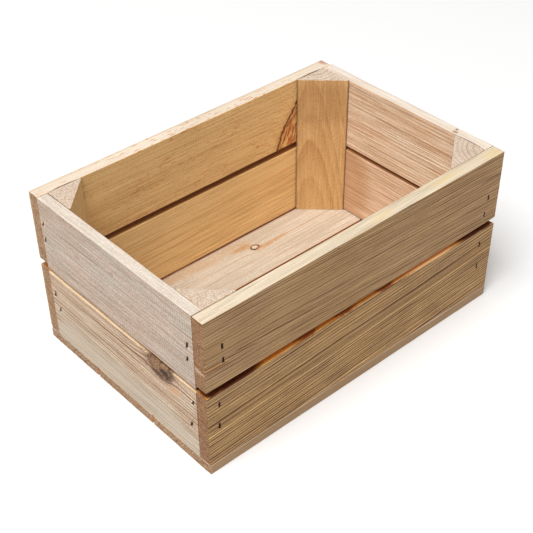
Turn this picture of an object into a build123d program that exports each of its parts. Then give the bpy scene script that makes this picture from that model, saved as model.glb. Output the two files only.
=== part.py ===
"""Small open-top apple crate of sawn softwood slats, stapled to triangular corner posts.

Millimetres, +Z up. The origin is at the middle of the footprint, on the underside of the floor boards.
+X runs along the crate's length and the front is the long wall at -Y.
"""
import os

from build123d import *

# Overall size
LENGTH = 400.0
WIDTH = 268.0
HEIGHT = 189.0

# Boards
LONG_THICK = 15.0  # front and back slats
END_THICK = 12.5  # slats of the two short ends
FLOOR_THICK = 11.5
EASE = 0.8  # rounding of every board's long edges

# Walls: each has two slats, one above the other, with a gap between them
LONG_LOWER_TOP = 99.7
LONG_UPPER_BOTTOM = 106.0
END_LOWER_TOP = 97.9
END_UPPER_BOTTOM = 101.5

# Floor: three boards along the length, from front to back
FLOOR_WIDTHS = {"front": 88.0, "middle": 89.5, "back": 84.5}
FLOOR_GAP = (WIDTH - sum(FLOOR_WIDTHS.values())) / 2

# Corner posts: legs of the right-angled section, along X and along Y
POST_LEGS = {
    "front_left": (40.0, 39.0),
    "front_right": (54.0, 41.0),
    "back_left": (40.0, 39.0),
    "back_right": (44.0, 42.0),
}

# Staples: flattened wire, driven until the crown lies below the wood's surface
CROWN = 6.0
LEG = 25.0
WIRE_THIN = 1.0  # in the staple's own plane
WIRE_WIDE = 1.2  # across that plane
POINT = 1.6  # length of the bevelled tip
SINK = 1.3  # depth of the crown's outer face below the surface
SLOT_LENGTH = 6.8
SLOT_WIDTH = 1.9

# Where the staples are: distance in from each end of the slat, and height above the ground
LONG_STAPLES = {
    "front_upper": {"left": ((21.0, 151.5), (21.5, 135.0)), "right": ((17.0, 139.0), (20.0, 118.5))},
    "front_lower": {"left": ((15.0, 83.4), (14.0, 56.5)), "right": ((21.0, 80.0), (20.5, 50.0))},
    "back_upper": {"left": ((19.0, 151.5), (20.5, 126.0)), "right": ((18.5, 149.0), (22.0, 131.0))},
    "back_lower": {"left": ((20.0, 80.5), (18.0, 47.0)), "right": ((19.0, 84.0), (21.0, 54.0))},
}
END_STAPLES = {
    "left_upper": {"front": ((8.6, 149.6), (9.4, 132.8)), "back": ((4.0, 159.4), (4.0, 139.8))},
    "left_lower": {"front": ((5.6, 80.8), (9.6, 49.6)), "back": ((5.7, 70.8), (11.4, 53.0))},
    "right_upper": {"front": ((8.0, 156.0), (7.0, 128.5)), "back": ((6.5, 158.0), (8.5, 140.0))},
    "right_lower": {"front": ((7.5, 72.0), (9.0, 42.0)), "back": ((8.0, 74.0), (6.0, 44.5))},
}
FLOOR_END_INSET = 22.0  # from a floor board's long edge to the staples at its ends
FLOOR_EDGE_STAPLES = (-105.0, 4.0, 110.0)  # X of the staples up into the long walls

HALF_LENGTH = LENGTH / 2
HALF_WIDTH = WIDTH / 2


def block(low, high):
    """A box from its lowest and highest corners."""
    size = [b - a for a, b in zip(low, high)]
    return Pos(*low) * Box(*size, align=(Align.MIN, Align.MIN, Align.MIN))


def board(low, high, grain):
    """A board with its long edges eased; grain is the axis that it runs along."""
    solid = block(low, high)
    return fillet(solid.edges().filter_by(grain), EASE)


def staple(surface, outward, crown):
    """One driven staple and the slot above it, for a point on the wood's surface."""
    normal = Vector(*crown).cross(Vector(*outward))
    face = Plane(origin=surface, x_dir=crown, z_dir=normal)
    half = CROWN / 2
    inside = half - WIRE_THIN
    outline = Polyline(
        (-half, -SINK),
        (half, -SINK),
        (half, -SINK - LEG),
        (inside, -SINK - LEG + POINT),
        (inside, -SINK - WIRE_THIN),
        (-inside, -SINK - WIRE_THIN),
        (-inside, -SINK - LEG + POINT),
        (-half, -SINK - LEG),
        close=True,
    )
    wire = extrude(face * make_face(outline), amount=WIRE_WIDE / 2, both=True)
    slot = face * Box(SLOT_LENGTH, 2 * (SINK + WIRE_THIN), SLOT_WIDTH)
    return wire, slot


def long_slats():
    """Front and back slats, which run the full length and cover the ends of the short ones."""
    slats = {}
    for side, near in (("front", -HALF_WIDTH), ("back", HALF_WIDTH - LONG_THICK)):
        far = near + LONG_THICK
        upper = (-HALF_LENGTH, near, LONG_UPPER_BOTTOM), (HALF_LENGTH, far, HEIGHT)
        lower = (-HALF_LENGTH, near, FLOOR_THICK), (HALF_LENGTH, far, LONG_LOWER_TOP)
        slats[f"{side}_upper_slat"] = board(*upper, Axis.X)
        slats[f"{side}_lower_slat"] = board(*lower, Axis.X)
    return slats


def end_slats():
    """Short slats of the two ends, between the long ones."""
    slats = {}
    reach = HALF_WIDTH - LONG_THICK
    for side, near in (("left", -HALF_LENGTH), ("right", HALF_LENGTH - END_THICK)):
        far = near + END_THICK
        upper = (near, -reach, END_UPPER_BOTTOM), (far, reach, HEIGHT)
        lower = (near, -reach, FLOOR_THICK), (far, reach, END_LOWER_TOP)
        slats[f"{side}_upper_slat"] = board(*upper, Axis.Y)
        slats[f"{side}_lower_slat"] = board(*lower, Axis.Y)
    return slats


def floor_boards():
    """Three boards under the walls, as long as the crate."""
    boards = {}
    start = -HALF_WIDTH
    for place, width in FLOOR_WIDTHS.items():
        ends = (-HALF_LENGTH, start, 0), (HALF_LENGTH, start + width, FLOOR_THICK)
        boards[f"{place}_floor_board"] = board(*ends, Axis.X)
        start += width + FLOOR_GAP
    return boards


def corner_posts():
    """Four posts of triangular section that stand on the floor, flush with the rim."""
    posts = {}
    for corner, (leg_x, leg_y) in POST_LEGS.items():
        to_right = 1 if "left" in corner else -1
        to_back = 1 if "front" in corner else -1
        x = -to_right * (HALF_LENGTH - END_THICK)
        y = -to_back * (HALF_WIDTH - LONG_THICK)
        section = Polyline((x, y), (x + to_right * leg_x, y), (x, y + to_back * leg_y), close=True)
        foot = Pos(0, 0, FLOOR_THICK) * make_face(section)
        posts[f"{corner}_post"] = extrude(foot, amount=HEIGHT - FLOOR_THICK, dir=(0, 0, 1))
    return posts


def wall_staples():
    """Two staples at each end of each wall slat, crowns upright, into the corner posts."""
    groups = {}
    for slat, ends in LONG_STAPLES.items():
        outward = -1 if slat.startswith("front") else 1
        groups[f"{slat}_staples"] = [
            staple((side * (HALF_LENGTH - inset), outward * HALF_WIDTH, height), (0, outward, 0), (0, 0, 1))
            for end, side in (("left", -1), ("right", 1))
            for inset, height in ends[end]
        ]
    reach = HALF_WIDTH - LONG_THICK
    for slat, ends in END_STAPLES.items():
        outward = -1 if slat.startswith("left") else 1
        groups[f"{slat}_staples"] = [
            staple((outward * HALF_LENGTH, side * (reach - inset), height), (outward, 0, 0), (0, 0, 1))
            for end, side in (("front", -1), ("back", 1))
            for inset, height in ends[end]
        ]
    return groups


def floor_staples():
    """Staples up through each floor board, two at each end and three along each long wall."""
    groups = {}
    start = -HALF_WIDTH
    for place, width in FLOOR_WIDTHS.items():
        end_x = HALF_LENGTH - END_THICK / 2
        rows = (start + FLOOR_END_INSET, start + width - FLOOR_END_INSET)
        spots = [(x, y) for x in (-end_x, end_x) for y in rows]
        if place != "middle":
            wall_y = (HALF_WIDTH - LONG_THICK / 2) * (-1 if place == "front" else 1)
            spots += [(x, wall_y) for x in FLOOR_EDGE_STAPLES]
        groups[f"{place}_floor_staples"] = [staple((x, y, 0), (0, 0, -1), (0, 1, 0)) for x, y in spots]
        start += width + FLOOR_GAP
    return groups


def overlaps(one, other):
    """True if two bounding boxes share space."""
    a, b = one.bounding_box(), other.bounding_box()
    return all(
        low < high
        for low, high in (
            (a.min.X, b.max.X), (b.min.X, a.max.X),
            (a.min.Y, b.max.Y), (b.min.Y, a.max.Y),
            (a.min.Z, b.max.Z), (b.min.Z, a.max.Z),
        )
    )


def drive(wood, groups):
    """The wood with every staple's slot and its own shape cut out of it."""
    for pairs in groups.values():
        for wire, slot in pairs:
            if overlaps(wood, slot):
                wood = wood - slot
            if overlaps(wood, wire):
                wood = wood - wire
    return wood


def write(name, shape):
    """One STEP file for each node."""
    shape.label = name
    export_step(shape, f"parts/{name}.step")


def main():
    os.makedirs("parts", exist_ok=True)
    groups = {**wall_staples(), **floor_staples()}
    for name, wood in {**long_slats(), **end_slats(), **corner_posts(), **floor_boards()}.items():
        write(name, drive(wood, groups))
    for name, pairs in groups.items():
        write(name, Compound(children=[wire for wire, _ in pairs]))


main()
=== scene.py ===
"""Sawn softwood apple crate: detailed boards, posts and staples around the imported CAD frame."""
import math

import bpy
import numpy as np
from mathutils import Euler, Matrix, Vector


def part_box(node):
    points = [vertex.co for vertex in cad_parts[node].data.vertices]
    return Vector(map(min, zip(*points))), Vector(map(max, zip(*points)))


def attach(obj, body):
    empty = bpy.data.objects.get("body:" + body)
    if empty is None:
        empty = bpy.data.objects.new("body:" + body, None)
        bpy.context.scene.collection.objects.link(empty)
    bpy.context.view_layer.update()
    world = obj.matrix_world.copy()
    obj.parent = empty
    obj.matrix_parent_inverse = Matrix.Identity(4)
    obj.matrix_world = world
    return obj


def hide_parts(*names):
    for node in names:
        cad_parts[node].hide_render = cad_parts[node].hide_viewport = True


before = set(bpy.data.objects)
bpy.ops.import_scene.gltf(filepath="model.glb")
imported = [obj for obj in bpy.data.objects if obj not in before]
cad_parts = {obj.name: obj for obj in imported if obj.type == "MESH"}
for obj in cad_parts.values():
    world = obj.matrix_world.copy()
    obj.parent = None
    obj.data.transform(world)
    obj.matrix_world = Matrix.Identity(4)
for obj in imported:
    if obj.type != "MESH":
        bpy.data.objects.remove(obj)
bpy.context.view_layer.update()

MM = 0.001  # metres in a millimetre; meshes and materials are worked out in millimetres
UP = (0, 0, 1)
FRONT, BACK, LEFT, RIGHT, BELOW = (0, -1, 0), (0, 1, 0), (-1, 0, 0), (1, 0, 0), (0, 0, -1)

# Boards
GRID = 2.0  # spacing of the mesh lines across a board
GRID_ALONG = 3.5  # and along its grain
EASE = 0.9  # rounding of the long edges
END_EASE = 0.5  # rounding of the sawn ends
BUTTED_EASE = 0.3  # and of those that butt against a long slat
SLAT_INSET = 0.15  # how far a slat's long edges draw in
LOW_INSET = 0.6  # and its lower edge, on all but the front wall
FLOOR_INSET = -0.6  # the floor boards' edges go outwards, into the narrow gaps
NEAR_EDGE = (0.0, 0.3, 0.7, 1.2, 1.9, 2.8, 4.0, 5.5, 7.5)  # mesh lines near an edge, from the edge inwards
CLOSEST = 0.12  # mesh lines nearer to each other than this become one
WORN_LOW = 0.7  # extra rounding along the lower slats' inner bottom edge
STRAIGHT = (0.0, 1.0, 0.0)  # a board whose edges don't bow

# Staple slots
SLOT_HALF_WIDTH = 1.2
SLOT_HALF_LENGTH = 3.5
SLOT_DEPTH = 2.1
SLOT_ACROSS = (0.0, 0.3, 0.6, 0.85, 1.0, 1.15, 1.3, 1.5, 1.9, 2.5, 3.4)  # mesh lines from a slot's middle
SLOT_ALONG = (0.0, 0.5, 1.0, 1.5, 2.0, 2.5, 2.9, 3.2, 3.5, 3.8, 4.3, 5.2)
STAPLE_REACH = 7.5  # points nearer than this, seen from the face, belong to one staple
TORN_REACH = 6.0  # a torn chip belongs to the staple this near

# Posts
POST_ROUND = 0.8  # rounding of the upright edges
POST_STEP = 1.6  # spacing of the mesh lines round a post
POST_RINGS = (0.98, 0.94, 0.88, 0.8, 0.7, 0.6, 0.5, 0.4, 0.3, 0.2, 0.1)  # smaller outlines that fill its ends
SEAM_WIDTH = 2.6  # painted shade: a dark line where a post's sloping face meets a wall
SEAM_SHADE = 0.3

# -------- numbers that look random, always the same


def hashed(x, y, z, seed):
    """A number from 0 to 1 for each whole-numbered point."""
    n = (x * 73856093) ^ (y * 19349663) ^ (z * 83492791) ^ (seed * 2654435761)
    n = ((n & 0xFFFFFFFF) ^ ((n & 0xFFFFFFFF) >> 13)) * 1274126177 & 0xFFFFFFFF
    return ((n ^ (n >> 16)) & 0xFFFF) / 65535.0


def noise(points, scale, seed):
    """Smooth noise from -1 to 1 at each point; scale is its grain in mm along x, y and z."""
    q = np.asarray(points, float) / np.asarray(scale, float)
    whole = np.floor(q).astype(np.int64)
    part = q - whole
    part = part * part * (3 - 2 * part)
    total = np.zeros(len(q))
    for corner in range(8):
        step = np.array([corner & 1, corner >> 1 & 1, corner >> 2 & 1])
        weight = np.where(step, part, 1 - part).prod(axis=1)
        cell = whole + step
        total += weight * hashed(cell[:, 0], cell[:, 1], cell[:, 2], seed)
    return total * 2 - 1


def smooth(value):
    """0 below 0, 1 above 1 and a soft step between."""
    t = np.clip(value, 0, 1)
    return t * t * (3 - 2 * t)


# -------- places, all taken from the CAD frame


def placement(node, out, up):
    """A board's own axes in the world: x along its grain, y along up, z along out, and its size in mm."""
    low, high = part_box(node)
    z, y = Vector(out), Vector(up)
    x = y.cross(z)
    turn = Matrix((x, y, z)).transposed()
    size = [abs(side) / MM for side in turn.transposed() @ (high - low)]
    return Matrix.Translation((low + high) / 2) @ turn.to_4x4(), size


def staple_spots(node, world):
    """Where the staples of a CAD node are, in the plane of a board: (x, y) of each in the board's own mm."""
    back = world.inverted()
    points = [(back @ v.co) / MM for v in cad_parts[node].data.vertices]
    spots = []
    for p in points:
        for group in spots:
            if math.hypot(p.x - group[0].x, p.y - group[0].y) < STAPLE_REACH:
                group.append(p)
                break
        else:
            spots.append([p])
    middles = []
    for group in spots:
        xs = [p.x for p in group]
        ys = [p.y for p in group]
        middles.append(((min(xs) + max(xs)) / 2, (min(ys) + max(ys)) / 2))
    return middles


# -------- board meshes


def mesh_lines(length, step, fine=()):
    """Mesh lines along one side of a board: even, but close at its edges and at each fine stretch."""
    half = length / 2
    edge = [d for d in NEAR_EDGE if d < half * 0.9]
    inner = half - edge[-1]
    count = max(1, round(2 * inner / step))
    lines = [-inner + 2 * inner * i / count for i in range(count + 1)]
    lines += [side * (half - d) for d in edge for side in (-1, 1)]
    for centre, offsets in fine:
        reach = max(offsets) + 0.5 * step
        lines = [v for v in lines if abs(v - centre) > reach or abs(v) > half - 0.1]
        near = [centre + side * d for d in offsets for side in (-1, 1)]
        lines += [v for v in near if abs(v) < half - 0.1]
    lines.sort()
    kept = [lines[0]]
    for value in lines[1:]:
        if value - kept[-1] > CLOSEST:
            kept.append(value)
    kept[-1] = half
    return np.array(kept)


def box_surface(xs, ys, zs):
    """Points and quads of a closed box whose six faces follow the given mesh lines."""
    shape = (len(xs), len(ys), len(zs))
    index = np.arange(np.prod(shape)).reshape(shape)
    inner = np.zeros(shape, bool)
    inner[1:-1, 1:-1, 1:-1] = True
    grid = np.stack(np.meshgrid(xs, ys, zs, indexing="ij"), axis=-1).reshape(-1, 3)
    keep = ~inner.reshape(-1)
    renumber = np.cumsum(keep) - 1
    faces = []
    for axis in range(3):
        for side in (0, -1):
            sheet = renumber[np.take(index, side, axis=axis)]
            a, b, c, d = sheet[:-1, :-1], sheet[1:, :-1], sheet[1:, 1:], sheet[:-1, 1:]
            quad = np.stack((a, b, c, d), axis=-1).reshape(-1, 4)
            outward = (side == -1) != (axis == 1)
            faces.append(quad if outward else quad[:, ::-1])
    return grid[keep], np.concatenate(faces)


def round_pair(points, first, second, half, radius):
    """Rounds the four edges where two sides of a box meet; radius has a value per point for each side."""
    a, b = points[:, first], points[:, second]
    over_a = (np.abs(a) - (half[first] - radius[0])) / radius[0]
    over_b = (np.abs(b) - (half[second] - radius[1])) / radius[1]
    length = np.hypot(over_a, over_b)
    hit = (over_a > 0) & (over_b > 0) & (length > 1)
    shrink = np.where(hit, 1 / np.maximum(length, 1e-9), 1)
    new_a = np.sign(a) * (half[first] - radius[0] + radius[0] * over_a * shrink)
    new_b = np.sign(b) * (half[second] - radius[1] + radius[1] * over_b * shrink)
    points[:, first] = np.where(hit, new_a, a)
    points[:, second] = np.where(hit, new_b, b)


def edge_radius(points, seed, wanes):
    """Rounding of the long edges at each point, across and through: uneven, and large where there is wane."""
    x, y, z = points.T
    along = np.column_stack([x, np.sign(y) * 40, np.sign(z) * 40])
    base = EASE + 0.3 * noise(along, (28, 20, 20), seed)
    across, through = base.copy(), base.copy()
    for side_y, side_z, start, end, big_y, big_z in wanes:
        here = (np.sign(y) == side_y) & (np.sign(z) == side_z)
        soft = max(6.0, 0.25 * abs(end - start))
        share = smooth((x - start) / soft + 1) * smooth((end - x) / soft + 1)
        across = np.where(here, across + big_y * share, across)
        through = np.where(here, through + big_z * share, through)
    return across, through


def corner_radius(points, corners):
    """Rounding of a board's corners seen from its face."""
    radius = np.full(len(points), 1.0)
    for side_x, side_y, size in corners:
        here = (np.sign(points[:, :2]) == (side_x, side_y)).all(axis=1)
        radius = np.where(here, size, radius)
    return radius


def cut_slots(points, half, spots, torn, slant, seed):
    """Sinks each staple's slot into the outward face; returns how dark each point is, painted shade with a
    little rust in the slot, and how torn.
    """
    dark, pale = np.zeros(len(points)), np.zeros(len(points))
    face = points[:, 2] > half[2] - 0.5
    for i, (x, y) in enumerate(spots):
        dx, dy = points[:, 0] - x + slant * (points[:, 1] - y), points[:, 1] - y
        ragged = SLOT_HALF_WIDTH + 0.3 * noise(points, (0.6, 1.3, 9), seed + i)
        tail = SLOT_HALF_LENGTH + 0.5 * noise(points, (0.5, 6, 9), seed + 40 + i)
        inside = smooth((ragged - np.abs(dx)) / 0.3 + 0.5) * smooth((tail - np.abs(dy)) / 0.5 + 0.5)
        lip = np.exp(-(((np.abs(dx) - 1.8) / 0.5) ** 2)) * smooth((4 - np.abs(dy)) / 1.0) * (1 - inside)
        points[:, 2] += np.where(face, 0.10 * lip - SLOT_DEPTH * inside, 0)
        dark = np.maximum(dark, np.where(face, inside, 0))
        for near_x, near_y, side_x, side_y, long, wide in torn:
            if math.hypot(near_x - x, near_y - y) < TORN_REACH:
                spread = ((dx - side_x) / long) ** 2 + ((dy - side_y) / wide) ** 2
                spread = spread + 0.5 * noise(points, (1.2, 0.8, 9), seed + 80 + i)
                scoop = smooth((1 - spread) / 0.5)
                points[:, 2] -= np.where(face, 0.45 * scoop * (1 - inside), 0)
                pale = np.maximum(pale, np.where(face, scoop * (1 - inside), 0))
    return dark, pale


def make_piece(node, world, points, faces, layers, material):
    """A closed mesh piece in place of a CAD node, riding on the crate; its material reads the layers."""
    name = f"{node}_wood"
    mesh = bpy.data.meshes.new(name)
    mesh.from_pydata((points * MM).tolist(), [], [list(f) for f in faces])
    for layer, values in layers.items():
        floats = mesh.attributes.new(layer, "FLOAT", "POINT")
        floats.data.foreach_set("value", np.asarray(values, np.float32))
    mesh.polygons.foreach_set("use_smooth", [True] * len(mesh.polygons))
    mesh.materials.append(material)
    mesh.update()
    piece = bpy.data.objects.new(name, mesh)
    bpy.context.scene.collection.objects.link(piece)
    piece.matrix_world = world
    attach(piece, "root")
    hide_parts(node)


def board_block(size, spots):
    """A plain box of a board's size, its mesh fine at the edges and round every staple."""
    xs = mesh_lines(size[0], GRID_ALONG, [(x, SLOT_ACROSS) for x, _ in spots])
    ys = mesh_lines(size[1], GRID, [(y, SLOT_ALONG) for _, y in spots])
    return box_surface(xs, ys, mesh_lines(size[2], GRID))


def round_board(points, half, wanes, corners, butted, worn_end, seed):
    """Eases the long edges, the sawn ends and the corners."""
    round_pair(points, 1, 2, half, edge_radius(points, seed, wanes))
    end = (BUTTED_EASE if butted else END_EASE) + 0.2 * noise(points, (50, 4, 4), seed + 5)
    end += np.where((points[:, 0] > 0) & (points[:, 2] > 0), worn_end, 0)
    round_pair(points, 0, 2, half, (end, end))
    corner = corner_radius(points, corners)
    round_pair(points, 0, 1, half, (corner, corner))


def sag_faces(points, half, seed):
    """Hollows the two wide faces a little, as a saw does."""
    sag = 0.07 * (1 + noise(points, (70, 22, 60), seed + 1))
    sag += 0.03 * (1 + noise(points, (9, 4, 60), seed + 2))
    points[:, 2] *= 1 - sag * (np.abs(points[:, 2]) / half[2]) ** 4 / half[2]


def sway_edges(points, half, inset, seed):
    """Moves the long edges in by the inset at each point, and a little unevenly."""
    along = points * (1, 0, 0) + np.sign(points) * (0, 30, 0)
    inset = inset + 0.14 * (1 + noise(along, (60, 20, 60), seed + 3))
    points[:, 1] *= 1 - inset * (np.abs(points[:, 1]) / half[1]) ** 6 / half[1]


def bow_edge(points, half, middle, reach, swell):
    """Bows one long edge outwards: the upper one if the swell is positive, or else the lower one."""
    x, y, _ = points.T
    share = smooth(1 - np.abs(x - middle) / reach) * (np.abs(y) / half[1]) ** 6
    points[:, 1] += np.where(y * swell > 0, swell * share, 0)


def fray_ends(points, half, butted, seed):
    """Makes the sawn ends uneven, less so where an end butts against a long slat."""
    least, more = (0.02, 0.03) if butted else (0.12, 0.16)
    fray = least + more * (1 + noise(points, (60, 3.1, 2.6), seed + 4))
    points[:, 0] *= 1 - fray * (np.abs(points[:, 0]) / half[0]) ** 40 / half[0]


def nick_edges(points, half, nicks):
    """Dents in the long edges."""
    for x, side_y, side_z, width, depth in nicks:
        dent = depth * np.exp(-(((points[:, 0] - x) / width) ** 2))
        edge = (points[:, 1] * side_y > half[1] - 3) & (points[:, 2] * side_z > half[2] - 3)
        points[:, 1] -= np.where(edge, side_y * dent, 0)
        points[:, 2] -= np.where(edge, side_z * dent, 0)


def make_board(
    node, out, seed, up=UP, slot="slat_wood", wanes=(), corners=(), torn=(), nicks=(), worn_end=0.0,
    slant=0.0, bow=STRAIGHT, **look,
):
    """One slat or floor board: eased edges, uneven sawn faces, wane, rounded corners and staple slots."""
    world, size = placement(node, out, up)
    half = np.array(size) / 2
    spots = staple_spots(node.rsplit("_", 1)[0] + "_staples", world)
    points, faces = board_block(size, spots)
    if node.endswith("lower_slat"):
        wanes = (*wanes, (-1, -1, -size[0], size[0], WORN_LOW, WORN_LOW))
    butted = node.startswith(("left", "right"))
    round_board(points, half, wanes, corners, butted, worn_end, seed)
    sag_faces(points, half, seed)
    if slot == "floor_wood":
        inset = FLOOR_INSET
    else:
        low = (points[:, 1] < 0) & (not node.startswith("front"))
        inset = np.where(low, LOW_INSET, SLAT_INSET)
    sway_edges(points, half, inset, seed)
    bow_edge(points, half, *bow)
    fray_ends(points, half, butted, seed)
    nick_edges(points, half, nicks)
    dark, pale = cut_slots(points, half, spots, torn, slant, seed + 10)
    layers = {"slot": dark, "torn": pale}
    make_piece(node, world, points, faces, layers, wood(node, look))


# -------- post meshes


def rounded_outline(corners):
    """A closed outline through the corners, each rounded, with points about POST_STEP apart."""
    outline = []
    count = len(corners)
    for i in range(count):
        before, here, after = (Vector(corners[(i + k) % count]) for k in (-1, 0, 1))
        into, out = (before - here).normalized(), (after - here).normalized()
        opening = into.angle(out)
        reach = POST_ROUND / math.tan(opening / 2)
        centre = here + (into + out).normalized() * POST_ROUND / math.sin(opening / 2)
        start, finish = here + into * reach, here + out * reach
        first = math.atan2(*(start - centre).yx)
        turn = (math.atan2(*(finish - centre).yx) - first + math.pi) % (2 * math.pi) - math.pi
        arc = [first + turn * k / 6 for k in range(7)]
        outline += [centre + POST_ROUND * Vector((math.cos(a), math.sin(a))) for a in arc]
        gap = (after - here).length - 2 * reach
        pieces = max(2, round(gap / POST_STEP))
        outline += [finish + out * gap * k / pieces for k in range(1, pieces)]
    return np.array([tuple(p) for p in outline])


def post_block(outline, stations, centre):
    """Points and faces of a closed bar with rings of points along it and smaller ones over its ends."""
    caps = [centre + (outline - centre) * share for share in POST_RINGS]
    rows = [(stations[0], cap) for cap in reversed(caps)]
    rows += [(x, outline) for x in stations]
    rows += [(stations[-1], cap) for cap in caps]
    ring = len(outline)
    points = np.concatenate([np.column_stack([np.full(ring, x), row]) for x, row in rows])
    first = np.arange(ring)
    after = (first + 1) % ring
    strip = np.column_stack([first, after, after + ring, first + ring])
    faces = [list(f) for f in np.concatenate([strip + r * ring for r in range(len(rows) - 1)])]
    faces.append(list(first[::-1]))
    faces.append(list(first + (len(rows) - 1) * ring))
    return points, faces


def roughen_post(points, centre, length, seed):
    """Uneven sides and ends."""
    inward = points[:, 1:] - centre
    reach = np.maximum(np.hypot(inward[:, 0], inward[:, 1]), 1e-6)
    rough = 0.05 + 0.06 * (1 + noise(points, (60, 9, 9), seed))
    rough += 0.04 * (1 + noise(points, (8, 3, 3), seed + 1))
    points[:, 1:] -= inward / reach[:, None] * rough[:, None]
    at_end = np.abs(points[:, 0]) > length / 2 - 0.01
    short = 0.15 * (1 + noise(points, (60, 5, 5), seed + 2))
    points[:, 0] -= np.sign(points[:, 0]) * at_end * short


def make_post(node, to_right, to_back, look, seed, off=(0.0, 0.0)):
    """A triangular corner post standing on the floor, its grain upright."""
    low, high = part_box(node)
    leg_x, leg_y, length = [side / MM for side in high - low]
    corner_x = low.x if to_right > 0 else high.x
    corner_y = low.y if to_back > 0 else high.y
    corner = Vector((corner_x, corner_y, (low.z + high.z) / 2)) + Vector((*off, 0)) * MM
    world = Matrix.Translation(corner) @ Matrix(((0, 1, 0), (0, 0, 1), (1, 0, 0))).to_4x4()
    outline = rounded_outline([(0, 0), (to_right * leg_x, 0), (0, to_back * leg_y)])
    if to_right * to_back < 0:
        outline = outline[::-1]
    centre = np.array([to_right * leg_x, to_back * leg_y]) * 0.29  # the triangle's middle, roughly
    points, faces = post_block(outline, mesh_lines(length, GRID_ALONG), centre)
    roughen_post(points, centre, length, seed)
    to_first = np.hypot(points[:, 1] - to_right * leg_x, points[:, 2])
    to_second = np.hypot(points[:, 1], points[:, 2] - to_back * leg_y)
    # painted shade in the crevices where the sloping face meets the walls
    seam = SEAM_SHADE * smooth((SEAM_WIDTH - np.minimum(to_first, to_second)) / 0.8)
    layers = {"slot": seam, "torn": np.zeros(len(points))}
    # the sides against the walls get painted shade, stronger on the back posts
    hidden = (-to_right, -to_back, 0.25 if to_back > 0 else 0.9)
    material = wood(node, {**look, "hidden": hidden})
    make_piece(node, world, points, faces, layers, material)


# -------- material building blocks


class Wire:
    """A number in a material's node tree that is added, multiplied and shaped like a plain number."""

    def __init__(self, tree, socket):
        self.tree = tree
        self.socket = socket

    def math(self, operation, *others):
        return add_node(self.tree, "Math", dict(enumerate((self, *others))), operation=operation)

    def __add__(self, other):
        return self.math("ADD", other)

    def __sub__(self, other):
        return self.math("SUBTRACT", other)

    def __mul__(self, other):
        return self.math("MULTIPLY", other)

    def __rtruediv__(self, other):
        return self.power(-1.0) * other

    def __neg__(self):
        return self.math("MULTIPLY", -1.0)

    __radd__ = __add__
    __rmul__ = __mul__

    def __rsub__(self, other):
        return (-self) + other

    def power(self, exponent):
        return self.math("POWER", exponent)

    def size(self):
        return self.math("ABSOLUTE")

    def most(self, other):
        return self.math("MAXIMUM", other)

    def least(self, other):
        return self.math("MINIMUM", other)

    def step(self, start, end):
        """0 before start, 1 after end, a soft step between; start may be the larger."""
        inputs = {"Value": self, "From Min": start, "From Max": end}
        return add_node(self.tree, "MapRange", inputs, interpolation_type="SMOOTHSTEP")


def feed(node, inputs):
    """Gives a node's inputs their wires or plain values."""
    for name, value in inputs.items():
        if isinstance(value, Wire):
            value.tree.links.new(value.socket, node.inputs[name])
        else:
            node.inputs[name].default_value = value


def add_node(tree, kind, inputs, output=0, **settings):
    """Adds a node with its settings and inputs, and gives the wire that leaves it."""
    node = tree.nodes.new("ShaderNode" + kind)
    for name, value in settings.items():
        setattr(node, name, value)
    feed(node, inputs)
    return Wire(tree, node.outputs[output])


def new_material(name):
    """A material and its shader."""
    material = bpy.data.materials.new(name)
    material.use_nodes = True
    return material, material.node_tree.nodes["Principled BSDF"]


def linear(red, green, blue):
    """An 8-bit screen colour as the linear colour that a shader takes."""
    values = [c / 255 for c in (red, green, blue)]
    return [c / 12.92 if c <= 0.04045 else ((c + 0.055) / 1.055) ** 2.4 for c in values] + [1.0]


def blend(share, under, over, mode="MIX"):
    """Two colours mixed by share; at least one of the three is a wire."""
    tree = next(value.tree for value in (share, under, over) if isinstance(value, Wire))
    return add_node(tree, "Mix", {0: share, 6: under, 7: over}, 2, data_type="RGBA", blend_type=mode)


class Place:
    """Coordinates in a piece's own millimetres: x along the grain, and noise stretched along it."""

    def __init__(self, tree, seed):
        self.tree = tree
        coords = tree.nodes.new("ShaderNodeTexCoord").outputs
        point = self.vector("MULTIPLY", Wire(tree, coords["Object"]), [1 / MM] * 3)
        self.shifted = self.vector("ADD", point, (seed * 371.3, seed * 117.7, seed * 53.9))
        self.x, self.y, self.z = self.parts(point)
        self.normal = self.parts(Wire(tree, coords["Normal"]))

    def vector(self, operation, point, values):
        return add_node(self.tree, "VectorMath", {0: point, 1: values}, operation=operation)

    def parts(self, point):
        node = self.tree.nodes.new("ShaderNodeSeparateXYZ")
        feed(node, {0: point})
        return [Wire(self.tree, s) for s in node.outputs]

    def noise_over(self, point, detail, rough):
        """Noise from 0 to 1 over a point, with a grain of 1."""
        inputs = {"Vector": point, "Scale": 1.0, "Detail": detail, "Roughness": rough}
        return add_node(self.tree, "TexNoise", inputs)

    def noise(self, sizes, detail=1.0, rough=0.5):
        """Noise from 0 to 1 whose grain is the given sizes in mm."""
        return self.noise_over(self.vector("DIVIDE", self.shifted, sizes), detail, rough)

    def noise_at(self, wires, detail):
        """Noise from 0 to 1 over three numbers."""
        joined = add_node(self.tree, "CombineXYZ", dict(enumerate(wires)))
        return self.noise_over(joined, detail, 0.5)

    def attribute(self, name):
        return add_node(self.tree, "Attribute", {}, "Fac", attribute_name=name)


def wander(value, pace):
    """Noise from 0 to 1 along one number."""
    inputs = {"W": value * pace, "Scale": 1.0, "Detail": 1.0}
    return add_node(value.tree, "TexNoise", inputs, noise_dimensions="1D")


def each_ring(ring):
    """A number from 0 to 1 that differs from ring to ring."""
    return add_node(ring.tree, "TexWhiteNoise", {"W": ring}, "Value", noise_dimensions="1D")


# -------- wood

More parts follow.
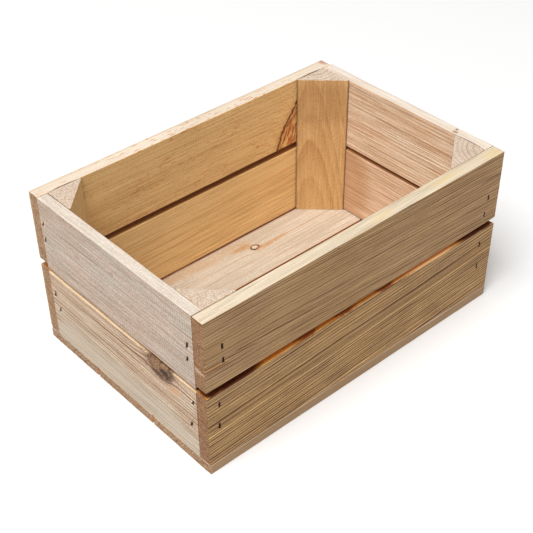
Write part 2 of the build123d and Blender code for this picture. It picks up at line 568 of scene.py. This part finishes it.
# A piece's look where it doesn't say otherwise. Sizes are in mm and colours are 8-bit screen colours.
# Each adds its log's number, its pale and dark colour, its pith (the log's middle, y and z) and ring width.
USUAL_LOOK = dict(
    taper=0.0,  # how fast the rings widen along the piece
    sway=1.0,  # how much they wander
    slope=0.0,  # how much they run across
    contrast=0.6,  # of the ring lines
    crisp=0.5,  # how narrow those are
    even=0.0,  # how alike
    fine_lines=0.35,  # fainter ones in between
    knots=(),
    spike=None,  # a branch sawn along its length
    streaks=(),
    spots=(),
    flecks=0.0,
    blotch=0.3,  # broad lighter and darker patches
    tint=(196, 184, 172),  # a second colour, in patches
    tint_share=0.0,
    edge=None,  # paint of the upper and the lower long edge
    low_edge=None,
    hidden=None,  # sides that touch the walls, and how much painted shade their joint gets
    end=(168, 130, 92),  # end grain, with its rings and pores
    end_share=0.8,
    end_dark=(118, 78, 50),
    pore=(112, 66, 36),
    rough_end=0.65,
    fibres=1.0,
    fuzziness=1.0,
    saw=0.5,  # saw marks and roughness
)
SAW_PITCH = 3.3  # from one saw ripple to the next
KNOT_PUSH = 0.92  # how far a knot pushes the grain aside
HALO_RING = 2.6  # width of the rings round it
TORN_WOOD = (232, 208, 172)
# painted shade in the staple slots, with a little rust, and along the posts' seams
SLOT_SHADE_AND_RUST = (46, 13, 8)

# Paint for the boards' long edges: how far a face has to turn towards one, its share and its colour
RIM = dict(turn=(0.6, 0.85), share=0.8, colour=(232, 216, 190))  # freshly sawn
PINK_RIM = dict(turn=(0.6, 0.85), share=0.85, colour=(233, 219, 203))  # the same, cooler
GAP_SHADE = dict(turn=(0.75, 0.95), share=0.9, colour=(146, 84, 28))  # painted shade on the edges inside the gaps
BOUNCE_GLOW = dict(turn=(0.75, 0.95), share=0.95, colour=(212, 142, 58))  # painted light: warm light bounced onto the edges of the front gap
JOINT_SHADE = dict(turn=(0.2, 0.7), share=0.95, colour=(112, 48, 22))  # painted shade in the joints
ARRIS_HIGHLIGHT = dict(turn=(0.35, 0.7), share=0.95, colour=(246, 214, 172))  # painted highlight along a lit arris
FLOOR_GAP_SHADE = dict(turn=(0.5, 0.8), share=0.95, colour=(198, 128, 64))  # painted warm shade on the edges between the floor boards
FLOOR_EDGE_SHADE = dict(turn=(0.6, 0.85), share=0.8, colour=(143, 108, 68))  # painted shade on the floor's outer edges, front and back, dark brown like the front wall

BACK_END = dict(end=(176, 142, 106), end_share=1, pore=(112, 70, 42))  # end grain of the back slats
LEFT_END = dict(end=(166, 124, 90), end_share=1, rough_end=0)  # and of the left ones


class Grain:
    """The noises of one piece's wood, each from about -0.5 to 0.5."""

    def __init__(self, place):
        self.fibre = place.noise((110, 1.7, 1.7), 3.0, 0.6) - 0.5
        self.fine = place.noise((50, 1.3, 1.3), 2.0, 0.6) - 0.5
        self.patch = place.noise((130, 30, 30), 2.0) - 0.5
        self.wash = place.noise((60, 14, 14), 2.0) - 0.5
        self.fuzz = place.noise((1.9, 0.85, 0.85), 2.0, 0.7) - 0.5


def stain(at, size, colour, strength, ragged=2.0):
    """A soft stain, fleck or bark pocket: its middle and reach along, across and through the piece."""
    return dict(at=at, size=size, colour=colour, strength=strength, ragged=ragged)


def scratch(x, y, slope, length, width, strength, colour):
    """A thin line along the grain, from its left end."""
    return dict(x=x, y=y, slope=slope, length=length, width=width, strength=strength, colour=colour)


def bend_grain(place, look):
    """The grain's own height across the board, each knot with the distance to it, and that to the spike."""
    bent = place.y + look["slope"] * place.x
    knots = []
    for knot in look["knots"]:
        dx = (place.x - knot["x"]) * (1 / knot["stretch"])
        dy = bent - knot["y"]
        apart = dx * dx + dy * dy
        core = knot["radius"] ** 2
        knots.append((knot, apart.power(0.5)))
        bent = bent - dy * (core / apart.most(core)) * KNOT_PUSH
    past = None
    spike = look["spike"]
    if spike:
        past = (place.x - spike["x"]) * spike["nx"] + (place.y - spike["y"]) * spike["ny"]
        bulge = -(place.y - spike["middle"]).power(2.0) * (1 / 14.0) ** 2
        past = past + spike["bow"] * bulge.math("EXPONENT")
        bent = bent + spike["bend"] * (past.least(0.0) * (1 / spike["reach"])).math("EXPONENT")
    return bent, knots, past


def growth_rings(place, grain, look, bent, knots):
    """The late wood of each ring, and how strongly the ring lines show."""
    drift = (place.noise((190, 60, 60), 1.0) - 0.5) * (4.0 * look["sway"])
    drift = drift + (place.noise((40, 12, 12), 1.0) - 0.5) * look["sway"]
    across, through = bent - look["pith"][0], place.z - look["pith"][1]
    radius = (across * across + through * through).power(0.5) + look["taper"] * place.x
    radius = radius + drift + grain.fibre * 0.8
    for knot, apart in knots:
        swell = (-(apart * apart) * (1 / (knot["radius"] * 2.2) ** 2)).math("EXPONENT")
        radius = radius + swell * knot["swell"]
    turns = radius * (1 / look["ring"])
    turns = turns + wander(turns, 0.37) * 1.8
    part = turns.math("FRACT")
    late = part.step(0.85 * look["crisp"], 0.92) * part.step(1.0, 0.9 + 0.08 * look["crisp"])
    strength = each_ring(turns.math("FLOOR"))
    strength = strength * strength * 0.95 * (1 - look["even"]) + 0.3 + 0.5 * look["even"]
    early = (turns * 2.63 + 0.4).math("FRACT")
    early = early.step(0.2, 0.75) * early.step(1.0, 0.8)
    return late, late * strength * (1.0 + grain.wash * 1.6) + early * look["fine_lines"]


def ringed_colour(grain, look, lines, end_face, pores):
    """Ring lines on bare wood, and the end grain with its pores."""
    tinted = (grain.patch + grain.wash * 0.5).step(-0.12, 0.22) * look["tint_share"]
    base = blend(tinted, linear(*look["pale"]), linear(*look["tint"]))
    base = blend(end_face * look["end_share"], base, linear(*look["end"]))
    lines = (lines * look["contrast"] * (1.0 + 0.4 * end_face)).least(1.0)
    dark = blend(end_face, linear(*look["dark"]), linear(*look["end_dark"]))
    colour = blend(lines, base, dark)
    return blend(end_face * pores * look["rough_end"], colour, linear(*look["pore"]))


def paint_edges(place, look, colour, end_face):
    """The long edges in their own colours, or in painted light and shade where they lie in the gaps, and
    painted shade on a post's sides in its joints; also how plainly the fibres show, which is less on those
    edges.
    """
    calm = 1.0
    for facing, paint in ((place.normal[1], look["edge"]), (-place.normal[1], look["low_edge"])):
        if paint:
            shown = facing.step(*paint["turn"]) * paint["share"] * (1 - end_face)
            colour = blend(shown, colour, linear(*paint["colour"]))
            calm = calm - shown * 0.55
    # painted shade on the sides that lie against the walls
    if look["hidden"]:
        side_y, side_z, share = look["hidden"]
        facing = (place.normal[1] * side_y).most(place.normal[2] * side_z)
        colour = blend(facing.step(0.8, 0.95) * share, colour, linear(*JOINT_SHADE["colour"]))
    return colour, calm


def saw_marks(place, grain):
    """Faint ripples across the board, in patches."""
    ripple = (place.x * (2 * math.pi / SAW_PITCH) + place.y * 0.3 + grain.patch * 22.0).math("SINE")
    return ripple * place.noise((60, 20, 20), 1.0).step(0.35, 0.7)


def shaded(grain, look, colour, marks, calm, end_face):
    """The colour with its fibres, patches, fuzz and saw marks."""
    shade = (grain.fibre * 0.8 + grain.fine * 1.5) * look["fibres"] + grain.patch * look["blotch"]
    shade = shade + grain.fuzz * (0.75 * look["fuzziness"]) + marks * (0.035 * look["saw"])
    shade = shade + end_face * grain.fuzz * 0.9
    return blend(1.0, colour, toned((1.0 + shade * calm).most(0.15)), "MULTIPLY")


def relief(grain, look, marks, late, end_face, pores):
    """The height of the surface in mm."""
    height = marks * (0.03 * look["saw"]) + grain.fibre * 0.5 + grain.fine * 0.35
    height = height + grain.fuzz * (0.35 * look["saw"] + 0.1) + late * 0.03
    return height + end_face * (grain.fuzz * 0.25 - pores * 0.12)


def wood(node, look):
    """Softwood cut from a log: growth rings round a pith, bent by knots, with fibres and saw marks."""
    look = {**USUAL_LOOK, **look}
    material, shader = new_material(f"{node}_wood")
    place = Place(material.node_tree, look["log"])
    grain = Grain(place)
    bent, knots, past = bend_grain(place, look)
    late, lines = growth_rings(place, grain, look, bent, knots)
    end_face = place.normal[0].size().step(0.55, 0.8)
    pores = place.noise((2.2, 2.0, 2.0), 1.0).step(0.46, 0.6)
    pores = pores * place.noise((9, 7, 7), 1.0).step(0.2, 0.5)
    marks = saw_marks(place, grain)
    colour = ringed_colour(grain, look, lines, end_face, pores)
    colour, calm = paint_edges(place, look, colour, end_face)
    colour = shaded(grain, look, colour, marks, calm, end_face)
    if look["flecks"]:
        colour = paint_flecks(place, look, colour, end_face)
    for streak in look["streaks"]:
        colour = paint_streak(place, grain, colour, streak)
    for knot, apart in knots:
        colour = paint_knot(place, colour, knot, apart)
    for spot in look["spots"]:
        colour = paint_spot(place, colour, spot, grain.wash + grain.fuzz)
    if look["spike"]:
        colour = paint_spike(place, colour, look["spike"], past)
    colour = blend(place.attribute("torn") * 0.85, colour, linear(*TORN_WOOD))
    # painted shade with a little rust in the staple slots, and painted shade along the posts' seams
    colour = blend(place.attribute("slot").step(0.05, 0.5) * 0.96, colour, linear(*SLOT_SHADE_AND_RUST))
    height = relief(grain, look, marks, late, end_face, pores)
    finish(shader, colour, 0.72 + 0.5 * grain.fine + 0.3 * grain.fuzz, height)
    return material


def toned(value):
    """A brightness as a colour to multiply by: darker wood gets redder, lighter wood paler."""
    parts = [value.power(exponent) for exponent in (0.85, 1.1, 1.4)]
    return add_node(value.tree, "CombineColor", dict(enumerate(parts)))


def paint_flecks(place, look, colour, end_face):
    """Short dark dashes along the grain, in patches."""
    dash = place.noise((8, 1.1, 1.1), 0.0).step(0.66, 0.76)
    dash = dash * place.noise((70, 24, 24), 1.0).step(0.5, 0.62)
    return blend(dash * look["flecks"] * (1 - end_face), colour, linear(*look["dark"]), "MULTIPLY")


def paint_streak(place, grain, colour, streak):
    """A thin line of resin or a crack along the grain."""
    past = place.x - streak["x"]
    off = (place.y - streak["y"] - past * streak["slope"] + grain.wash * 1.6).size()
    run = past.step(-4, 6) * past.step(streak["length"] + 15, streak["length"] - 10)
    mark = off.step(streak["width"], streak["width"] * 0.2) * run * (streak["strength"] + grain.fibre * 1.5)
    return blend(mark, colour, linear(*streak["colour"]))


def paint_spot(place, colour, spot, rough):
    """One stain, with a ragged outline."""
    total = rough * spot["ragged"]
    for wire, middle, size in zip((place.x, place.y, place.z), spot["at"], spot["size"]):
        off = (wire - middle) * (1 / size)
        total = total + off * off
    return blend(total.step(1.4, 0.4) * spot["strength"], colour, linear(*spot["colour"]))


def paint_knot(place, colour, knot, apart):
    """A round knot: ringed heart, dark bark line and a stained halo."""
    size = knot["radius"]
    lumps = place.noise((6, 4, 4), 2.0) - 0.5
    uneven = apart + lumps * size * 0.7
    rings = ((uneven + lumps * 3.0) * (1 / knot["ring"])).math("FRACT").step(0.3, 0.85)
    heart = rings * 0.6 + place.noise((2.2, 1.6, 1.6), 2.0).step(0.4, 0.6) * 0.4
    heart = blend(heart, linear(*knot["light"]), linear(*knot["deep"]))
    halo = uneven.step(size * 2.1, size * 0.9) * knot["halo"]
    halo = halo * (0.55 + (uneven * (2 * math.pi / HALO_RING)).math("SINE") * 0.45)
    colour = blend(halo, colour, linear(*knot["stain"]))
    colour = blend(uneven.step(size * 1.04, size * 0.9), colour, heart)
    bark = uneven.step(size * 1.3, size * 1.05) * uneven.step(size * 0.7, size * 0.95) * knot["bark"]
    return blend(bark * (1.0 + lumps * 2.5), colour, linear(*knot["deep"]))


def paint_spike(place, colour, spike, past):
    """A branch sawn along its length: a reddish wedge with a dark bark line on one side."""
    rough = past + (place.noise((7, 5, 5), 2.0) - 0.5) * 5.0
    near = (place.x - spike["tip"][0]) * spike["far"][0] + (place.y - spike["tip"][1]) * spike["far"][1]
    inside = (near + (rough - past)).step(-1.0, 1.0) * place.z.step(3.0, -2.0)
    length = place.y * spike["nx"] - place.x * spike["ny"]
    along = place.noise_at((rough * (1 / 1.8), length * (1 / 14.0), place.z * (1 / 9.0)), 2.0)
    branch = blend(along.step(0.4, 0.62), linear(*spike["light"]), linear(*spike["deep"]))
    curl = rough.step(-9.0, -2.0) * rough.step(0.3, -0.8) * inside * (0.35 + (along - 0.5) * 1.5)
    colour = blend(curl, colour, linear(*spike["curl"]))
    colour = blend(rough.step(-0.5, 0.7) * inside, colour, branch)
    bark = rough.step(-2.0, -0.7) * rough.step(2.2, 0.6)
    second = rough.step(3.4, 4.4) * rough.step(7.0, 5.4) * along.step(0.3, 0.6)
    return blend((bark + second * 0.8) * inside * 0.9, colour, linear(*spike["bark"]))


def finish(shader, colour, roughness, height):
    """Wires up the shader, with relief in millimetres."""
    bump = add_node(height.tree, "Bump", {"Strength": 0.8, "Distance": MM, "Height": height})
    inputs = {"Base Color": colour, "Roughness": roughness, "Normal": bump, "Specular IOR Level": 0.28}
    feed(shader, inputs)


def steel(name):
    """Dull galvanised wire with scratches and a little rust; its near-black colour is partly painted shade,
    as the wire sits deep in the slots.
    """
    material, shader = new_material(name)
    place = Place(material.node_tree, 3)
    scuffs = place.noise((0.3, 0.3, 3.0), 2.0)
    rust = place.noise((1.1, 1.1, 1.1), 2.0).step(0.5, 0.72)
    colour = blend(scuffs, linear(18, 15, 15), linear(42, 38, 37))
    colour = blend(rust * 0.7, colour, linear(58, 28, 18))
    roughness = 0.38 + 0.3 * scuffs + 0.2 * rust
    feed(shader, {"Base Color": colour, "Roughness": roughness, "Metallic": 0.85})
    return material


# -------- the crate; each board is cut from its own part of a log


def make_front_slats():
    """The two slats of the front wall: their dark brown is partly their own stained, weathered tone and
    partly painted shade.
    """
    make_board(
        "front_upper_slat", FRONT, seed=11, bow=(60, 230, -0.9), corners=((1, -1, 2.5),),
        nicks=((-39, 1, 1, 0.9, 0.8),), log=1, pale=(180, 145, 100), dark=(104, 68, 36), pith=(-96, -30),
        ring=2.5, sway=1.2, slope=0.035, contrast=1.05, crisp=0.45, even=0.3, edge=RIM, low_edge=BOUNCE_GLOW,
        saw=0.4, tint=(178, 142, 112), tint_share=0.35,
        streaks=(
            scratch(-204, -12, -0.04, 24, 1.5, 0.9, (132, 78, 30)),
            scratch(-204, -16.3, -0.05, 26, 1.6, 0.9, (132, 78, 30)),
            scratch(-176, -13.4, -0.062, 38, 1.1, 0.9, (96, 48, 20)),
            scratch(-165, -10.7, -0.054, 96, 1, 1, (86, 36, 18)),
            scratch(6, 16.6, -0.058, 116, 1.2, 0.5, (104, 70, 38)),
            scratch(168, 14.6, 0.03, 40, 1.6, 0.6, (104, 66, 34)),
        ),
        spots=(
            stain((-200, -4.5, 7), (1.5, 1, 1.6), (96, 44, 28), 0.8),
            stain((-200, -19, 0), (2, 2.2, 7), (212, 192, 168), 0.55, 9),
            stain((28, 42, 1), (14, 3, 3), (236, 206, 140), 0.4, 9),
            stain((136, 42, -1), (26, 3, 3), (236, 206, 140), 0.45, 9),
            stain((184, 42, 0), (13, 3, 5), (236, 206, 140), 0.4, 9),
        ),
    )
    make_board(
        "front_lower_slat", FRONT, seed=12, bow=(60, 230, 1.3), corners=((1, 1, 4),),
        wanes=((-1, 1, 90, 210, 1.6, 1.2),), log=2, pale=(206, 165, 110), dark=(80, 46, 18),
        pith=(-84, -30), ring=2.8, taper=-0.042, sway=0.8, contrast=1.5, crisp=0.5, even=0.5, blotch=0.1,
        edge=BOUNCE_GLOW, low_edge=JOINT_SHADE, saw=0.4, tint=(166, 132, 98), tint_share=0.4,
        streaks=(
            scratch(-200, 0.5, 0.036, 420, 2.6, 0.42, (112, 68, 34)),
            scratch(-200, 8, 0.034, 420, 1.6, 0.4, (112, 68, 34)),
        ),
        spots=(
            # painted light: a lighter stretch of the top edge, lit inside the front gap
            stain((92, 44.5, 0), (52, 2.4, 14), (244, 190, 130), 0.8, 2),
            # darker patches along the same edge
            *(
                stain((x, 44.5, 0), (reach, 2.4, 14), (122, 50, 16), strength, 4)
                for x, reach, strength in ((-76, 13, 0.8), (-22, 15, 0.8), (33, 13, 0.9))
            ),
            # painted shade on that edge in front of the posts, at both ends
            *(
                stain((x, 44.5, 0), (reach, 2.6, 12), (74, 26, 8), strength, 0.5)
                for x, reach, strength in (
                    (-191, 9, 0.95), (-176, 15, 0.97), (-157, 27, 0.97), (164, 25, 0.95),
                    (186, 13, 0.95),
                )
            ),
        ),
    )


def make_back_slats():
    """The two slats of the back wall, paler on the inside, which the photo shows: their bright orange is
    partly painted light, bounced round the inside of the crate.
    """
    make_board(
        "back_upper_slat", BACK, seed=13, wanes=((-1, 1, 150, 205, 2.5, 2),), corners=((-1, 1, 4),),
        log=3, **BACK_END, pale=(252, 212, 150), dark=(220, 156, 84), pith=(-110, 50), ring=4, taper=-0.01,
        sway=1.6, slope=0.02, contrast=0.4, crisp=0.2, fibres=0.55, flecks=0.85, edge=PINK_RIM,
        low_edge=GAP_SHADE, saw=1.3,
        spots=(
            stain((0, 0, 12), (600, 200, 8), (196, 166, 126), 0.5, 0.8),
            stain((-197, 41.6, 3), (7, 2, 9), (186, 122, 80), 0.7),
            # painted shade along the top inner edge, in the crevices beside the posts
            stain((-166, 40.4, -7.5), (20, 1.4, 1.3), (74, 34, 16), 0.95, 0.4),
            stain((168, 40.4, -7.5), (18, 1.4, 1.3), (74, 34, 16), 0.95, 0.4),
        ),
        spike=dict(
            x=-114, y=-41.5, nx=-0.867, ny=-0.497, bow=3.4, middle=-16, bend=26, reach=12,
            light=(255, 204, 136), deep=(186, 98, 42), bark=(104, 52, 26), curl=(226, 168, 96),
            tip=(-150, 16), far=(0.9, -0.43),
        ),
    )
    make_board(
        "back_lower_slat", BACK, seed=14, wanes=((-1, 1, 185, 205, 9, 4),),
        log=4, **BACK_END, pale=(253, 216, 156), dark=(222, 160, 88), pith=(-70, 30), ring=5, taper=0.012,
        sway=1.4, slope=0.015, contrast=0.45, crisp=0.1, fibres=0.55, edge=GAP_SHADE, low_edge=JOINT_SHADE,
        spots=(stain((0, 0, 12), (600, 200, 8), (192, 162, 124), 0.5, 0.8),),
    )


def make_left_slats():
    """The two slats of the left wall, grey and fuzzy."""
    make_board(
        "left_upper_slat", LEFT, seed=15, slant=-0.22,
        torn=(
            (-115, 14, -1.6, 1.2, 2.2, 1.6),
            (-115, 14, 1.9, -0.8, 1.6, 1.4),
            (-115, -5.5, -2, 1.5, 1.5, 1.2),
        ),
        log=5, **LEFT_END, pale=(196, 175, 158), dark=(136, 104, 82), pith=(-84, -40), ring=2.6, sway=1.2,
        contrast=0.45, crisp=0.2, tint=(180, 172, 156), tint_share=0.7, edge=PINK_RIM, low_edge=GAP_SHADE, saw=3,
        fuzziness=2,
        spots=(
            stain((-58, 5, 6), (4.5, 1.2, 3), (150, 106, 84), 0.6),
            stain((0, 19, 6), (4, 1.8, 3), (156, 116, 90), 0.5),
        ),
    )
    make_board(
        "left_lower_slat", LEFT, seed=16, slant=-0.25,
        torn=(
            (-113, 16, -2.4, 0.5, 2.4, 1.4),
            (-107, -1.7, -1.8, 1, 1.8, 1.2),
            (113, 26, -2, 0.8, 1.8, 1.2),
        ),
        log=6, **LEFT_END, pale=(212, 190, 164), dark=(136, 94, 62), pith=(86, -40), ring=3, sway=1,
        contrast=1.1, crisp=0.3, even=0.3, tint=(190, 180, 162), tint_share=0.5, edge=ARRIS_HIGHLIGHT, low_edge=JOINT_SHADE,
        saw=2.2, fuzziness=2,
        knots=(
            dict(
                x=66, y=37, radius=12.5, stretch=1.4, swell=6, light=(176, 134, 96), deep=(70, 42, 30),
                stain=(142, 106, 72), halo=0.9, ring=2.2, bark=0.6,
            ),
        ),
        spots=(
            stain((-10, -32, 6), (150, 27, 30), (190, 182, 166), 0.5),
            # painted shade deep in the gap above this slat
            stain((0, 43.2, -1.4), (400, 2.6, 5.2), (96, 54, 28), 0.95, 0.4),
            stain((72, 34, 4), (7, 4, 9), (40, 22, 20), 0.9, 9),
            stain((60, 27, 4), (9, 1.8, 9), (66, 44, 34), 0.8, 7),
            stain((86, 20, 5), (10, 5, 9), (214, 160, 118), 0.5, 4),
            stain((43, 30, 4), (2, 7, 9), (120, 84, 54), 0.7, 6),
        ),
    )


def make_right_slats():
    """The two slats of the right wall, pinkish."""
    make_board(
        "right_upper_slat", RIGHT, seed=17,
        log=7, pale=(236, 216, 190), dark=(198, 146, 110), pith=(-90, 40), ring=3, sway=0.7, contrast=0.8,
        crisp=0.4, even=0.6, blotch=0.1, edge=PINK_RIM, low_edge=GAP_SHADE, tint=(222, 190, 156), tint_share=0.6,
        spots=(
            stain((-73, 43, 2.5), (2.2, 3, 1.8), (120, 84, 62), 0.8),
            stain((-75, 43, -2.5), (3.4, 3, 2), (150, 110, 84), 0.7),
            # painted shade along the top inner edge, in the crevice beside the post
            stain((-98, 42.6, -6.25), (18, 1.4, 1.2), (84, 44, 22), 0.9, 0.4),
        ),
    )
    make_board(
        "right_lower_slat", RIGHT, seed=18,
        log=8, blotch=0.1, pale=(230, 201, 172), dark=(192, 138, 98), pith=(-60, 50), ring=3.6, taper=0.01,
        sway=0.9, contrast=0.6, crisp=0.3, edge=GAP_SHADE, low_edge=JOINT_SHADE,
        # painted shade on the inside near the back post
        spots=(stain((84, 8, -6), (46, 60, 30), (186, 132, 76), 0.5, 0.8),),
    )


def make_floor_boards():
    """Three boards; their staples come up from below, so the outward face is the underside."""
    shared = dict(
        edge=FLOOR_GAP_SHADE, low_edge=FLOOR_GAP_SHADE, tint=(221, 207, 188), tint_share=0.5, end=(166, 134, 100), end_share=0.9,
    )
    looks = {
        "front": dict(
            log=9, fibres=0.6, pale=(232, 208, 178), dark=(194, 150, 112), pith=(60, 60), ring=3.6,
            contrast=0.45, edge=FLOOR_EDGE_SHADE,
        ),
        "middle": dict(
            log=10, fibres=0.6, pale=(225, 204, 174), dark=(192, 150, 112), pith=(-58, 54), ring=4,
            contrast=0.45,
        ),
        "back": dict(
            # its darker pale colour is partly painted shade, where the back of the floor gets less light
            log=12, pale=(211, 199, 180), dark=(190, 152, 114), pith=(70, 50), ring=4.6, contrast=0.4,
            fibres=0.45, low_edge=FLOOR_EDGE_SHADE,
            knots=(
                dict(
                    x=56.5, y=-1.5, radius=4, stretch=1.3, swell=5, light=(236, 214, 190),
                    deep=(58, 20, 18), stain=(206, 150, 92), halo=0.8, ring=30, bark=1,
                ),
            ),
            spots=(
                # painted shade in the crevice where the floor meets the back wall
                stain((0, -27.4, -5.75), (500, 1.3, 2), (140, 60, 30), 0.85, 0.5),
                stain((62, 1.5, -5), (5.5, 1.6, 3), (176, 104, 46), 0.85, 6),
                stain((43, -9, -5), (15, 5, 6), (194, 146, 88), 0.85, 5),
                stain((84, 3, -5), (25, 3.6, 6), (200, 148, 94), 0.8, 5),
                stain((-30, -18, -5), (75, 9, 6), (206, 168, 128), 0.6, 4),
            ),
        ),
    }
    for place, look in looks.items():
        make_board(
            f"{place}_floor_board", BELOW, up=(0, -1, 0), slot="floor_wood", seed=20 + look["log"],
            worn_end=4 if place == "front" else 0.5, **{**shared, **look},
        )


def make_posts():
    """Four posts, each ripped from square stock, so the rings lie differently in each."""
    shared = dict(
        end=(218, 199, 180), end_share=0.95, fuzziness=1.3, fibres=0.4, rough_end=0.4,
        pore=(190, 148, 120), end_dark=(164, 140, 122),
    )
    golden = dict(pale=(254, 222, 166), dark=(218, 160, 94))
    plain = dict(pale=(220, 177, 122), dark=(184, 128, 72))
    make_post(
        "front_left_post", 1, 1, dict(log=21, pith=(60, -30), ring=2.8, contrast=0.2, **golden, **shared), 31,
    )
    make_post(
        "front_right_post", -1, 1,
        dict(
            log=22, pith=(10, -8), ring=5.2, sway=0.6, contrast=0.5, crisp=0.75, fine_lines=0, even=0.7,
            **golden, **shared,
        ),
        32, (-0.4, 0),
    )
    make_post(
        "back_left_post", 1, -1,
        dict(log=23, pith=(40, 20), ring=2.8, contrast=0.25, fine_lines=0.1, **golden, **shared),
        33, (0, -0.4),
    )
    make_post(
        "back_right_post", -1, -1,
        dict(
            log=24, pith=(-8, 12), ring=5.5, taper=0.13, sway=1.8, contrast=0.42, crisp=0.1, fine_lines=0.1,
            spots=(stain((57, -20, -20), (26, 90, 90), (150, 98, 52), 0.25, 0.6),),
            **plain, **{**shared, "end": (234, 216, 196)},
        ),
        34, (0, -0.7),
    )


def finish_staples():
    """The CAD staples keep their shape and get worn wire."""
    wire = steel("staple_wire")
    for name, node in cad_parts.items():
        if name.endswith("_staples"):
            node.data.materials.clear()
            node.data.materials.append(wire)


# -------- floor, light and camera

KEY_POWER = 196.0
KEY_SIZE = 2.5
KEY_PLACE = (-2.03, -0.58, 4.05)
KEY_TARGET = (0, 0, 0.08)
SKY_TOP = (-0.4, -0.25, 0.88)  # where the sky is brightest
SKY_BRIGHT = 0.48  # that way, to the upper left
SKY_DIM = 0.16  # towards the lower front
FLOOR_REACH = 9.0
FLOOR_GLOW = 0.08


def make_stage():
    """A plain pale floor, with a very slight glow that keeps it white."""
    size = FLOOR_REACH
    mesh = bpy.data.meshes.new("floor")
    corners = [(-size, -size, 0), (size, -size, 0), (size, size, 0), (-size, size, 0)]
    mesh.from_pydata(corners, [], [(0, 1, 2, 3)])
    floor = bpy.data.objects.new("floor", mesh)
    bpy.context.scene.collection.objects.link(floor)
    material, shader = new_material("floor_paper")
    feed(shader, {"Base Color": (0.9, 0.9, 0.9, 1), "Roughness": 0.9, "Specular IOR Level": 0.1})
    feed(shader, {"Emission Color": (1, 1, 1, 1), "Emission Strength": FLOOR_GLOW})
    mesh.materials.append(material)


def make_lights():
    """A big soft key from the upper left, a little behind, and a sky that is brightest on that side."""
    data = bpy.data.lights.new("key", "AREA")
    data.shape = "SQUARE"
    data.size = KEY_SIZE
    data.energy = KEY_POWER
    light = bpy.data.objects.new("key", data)
    light.location = KEY_PLACE
    aim = Vector(KEY_TARGET) - Vector(KEY_PLACE)
    light.rotation_euler = aim.to_track_quat("-Z", "Y").to_euler()
    bpy.context.scene.collection.objects.link(light)
    world = bpy.data.worlds.new("studio")
    bpy.context.scene.world = world
    world.use_nodes = True
    tree = world.node_tree
    ray = add_node(tree, "TexCoord", {}, "Generated")
    facing = add_node(tree, "VectorMath", {0: ray, 1: SKY_TOP}, "Value", operation="DOT_PRODUCT")
    strength = facing.step(-0.4, 1.0) * (SKY_BRIGHT - SKY_DIM) + SKY_DIM
    feed(tree.nodes["Background"], {"Color": (1.0, 0.99, 0.975, 1), "Strength": strength})


def make_camera():
    """The viewpoint: above the front left corner, looking down at about 40 degrees."""
    data = bpy.data.cameras.new("camera")
    data.sensor_width = 36.0
    data.lens = 74.9
    data.shift_y = 0.063
    camera = bpy.data.objects.new("camera", data)
    camera.location = (-0.6227, -0.6938, 0.8011)
    camera.rotation_euler = Euler([math.radians(a) for a in (50.046, 0.404, -41.843)], "XYZ")
    bpy.context.scene.collection.objects.link(camera)
    bpy.context.scene.camera = camera


bpy.context.scene.view_settings.view_transform = "Standard"
make_camera()
make_stage()
make_lights()
make_front_slats()
make_back_slats()
make_left_slats()
make_right_slats()
make_floor_boards()
make_posts()
finish_staples()
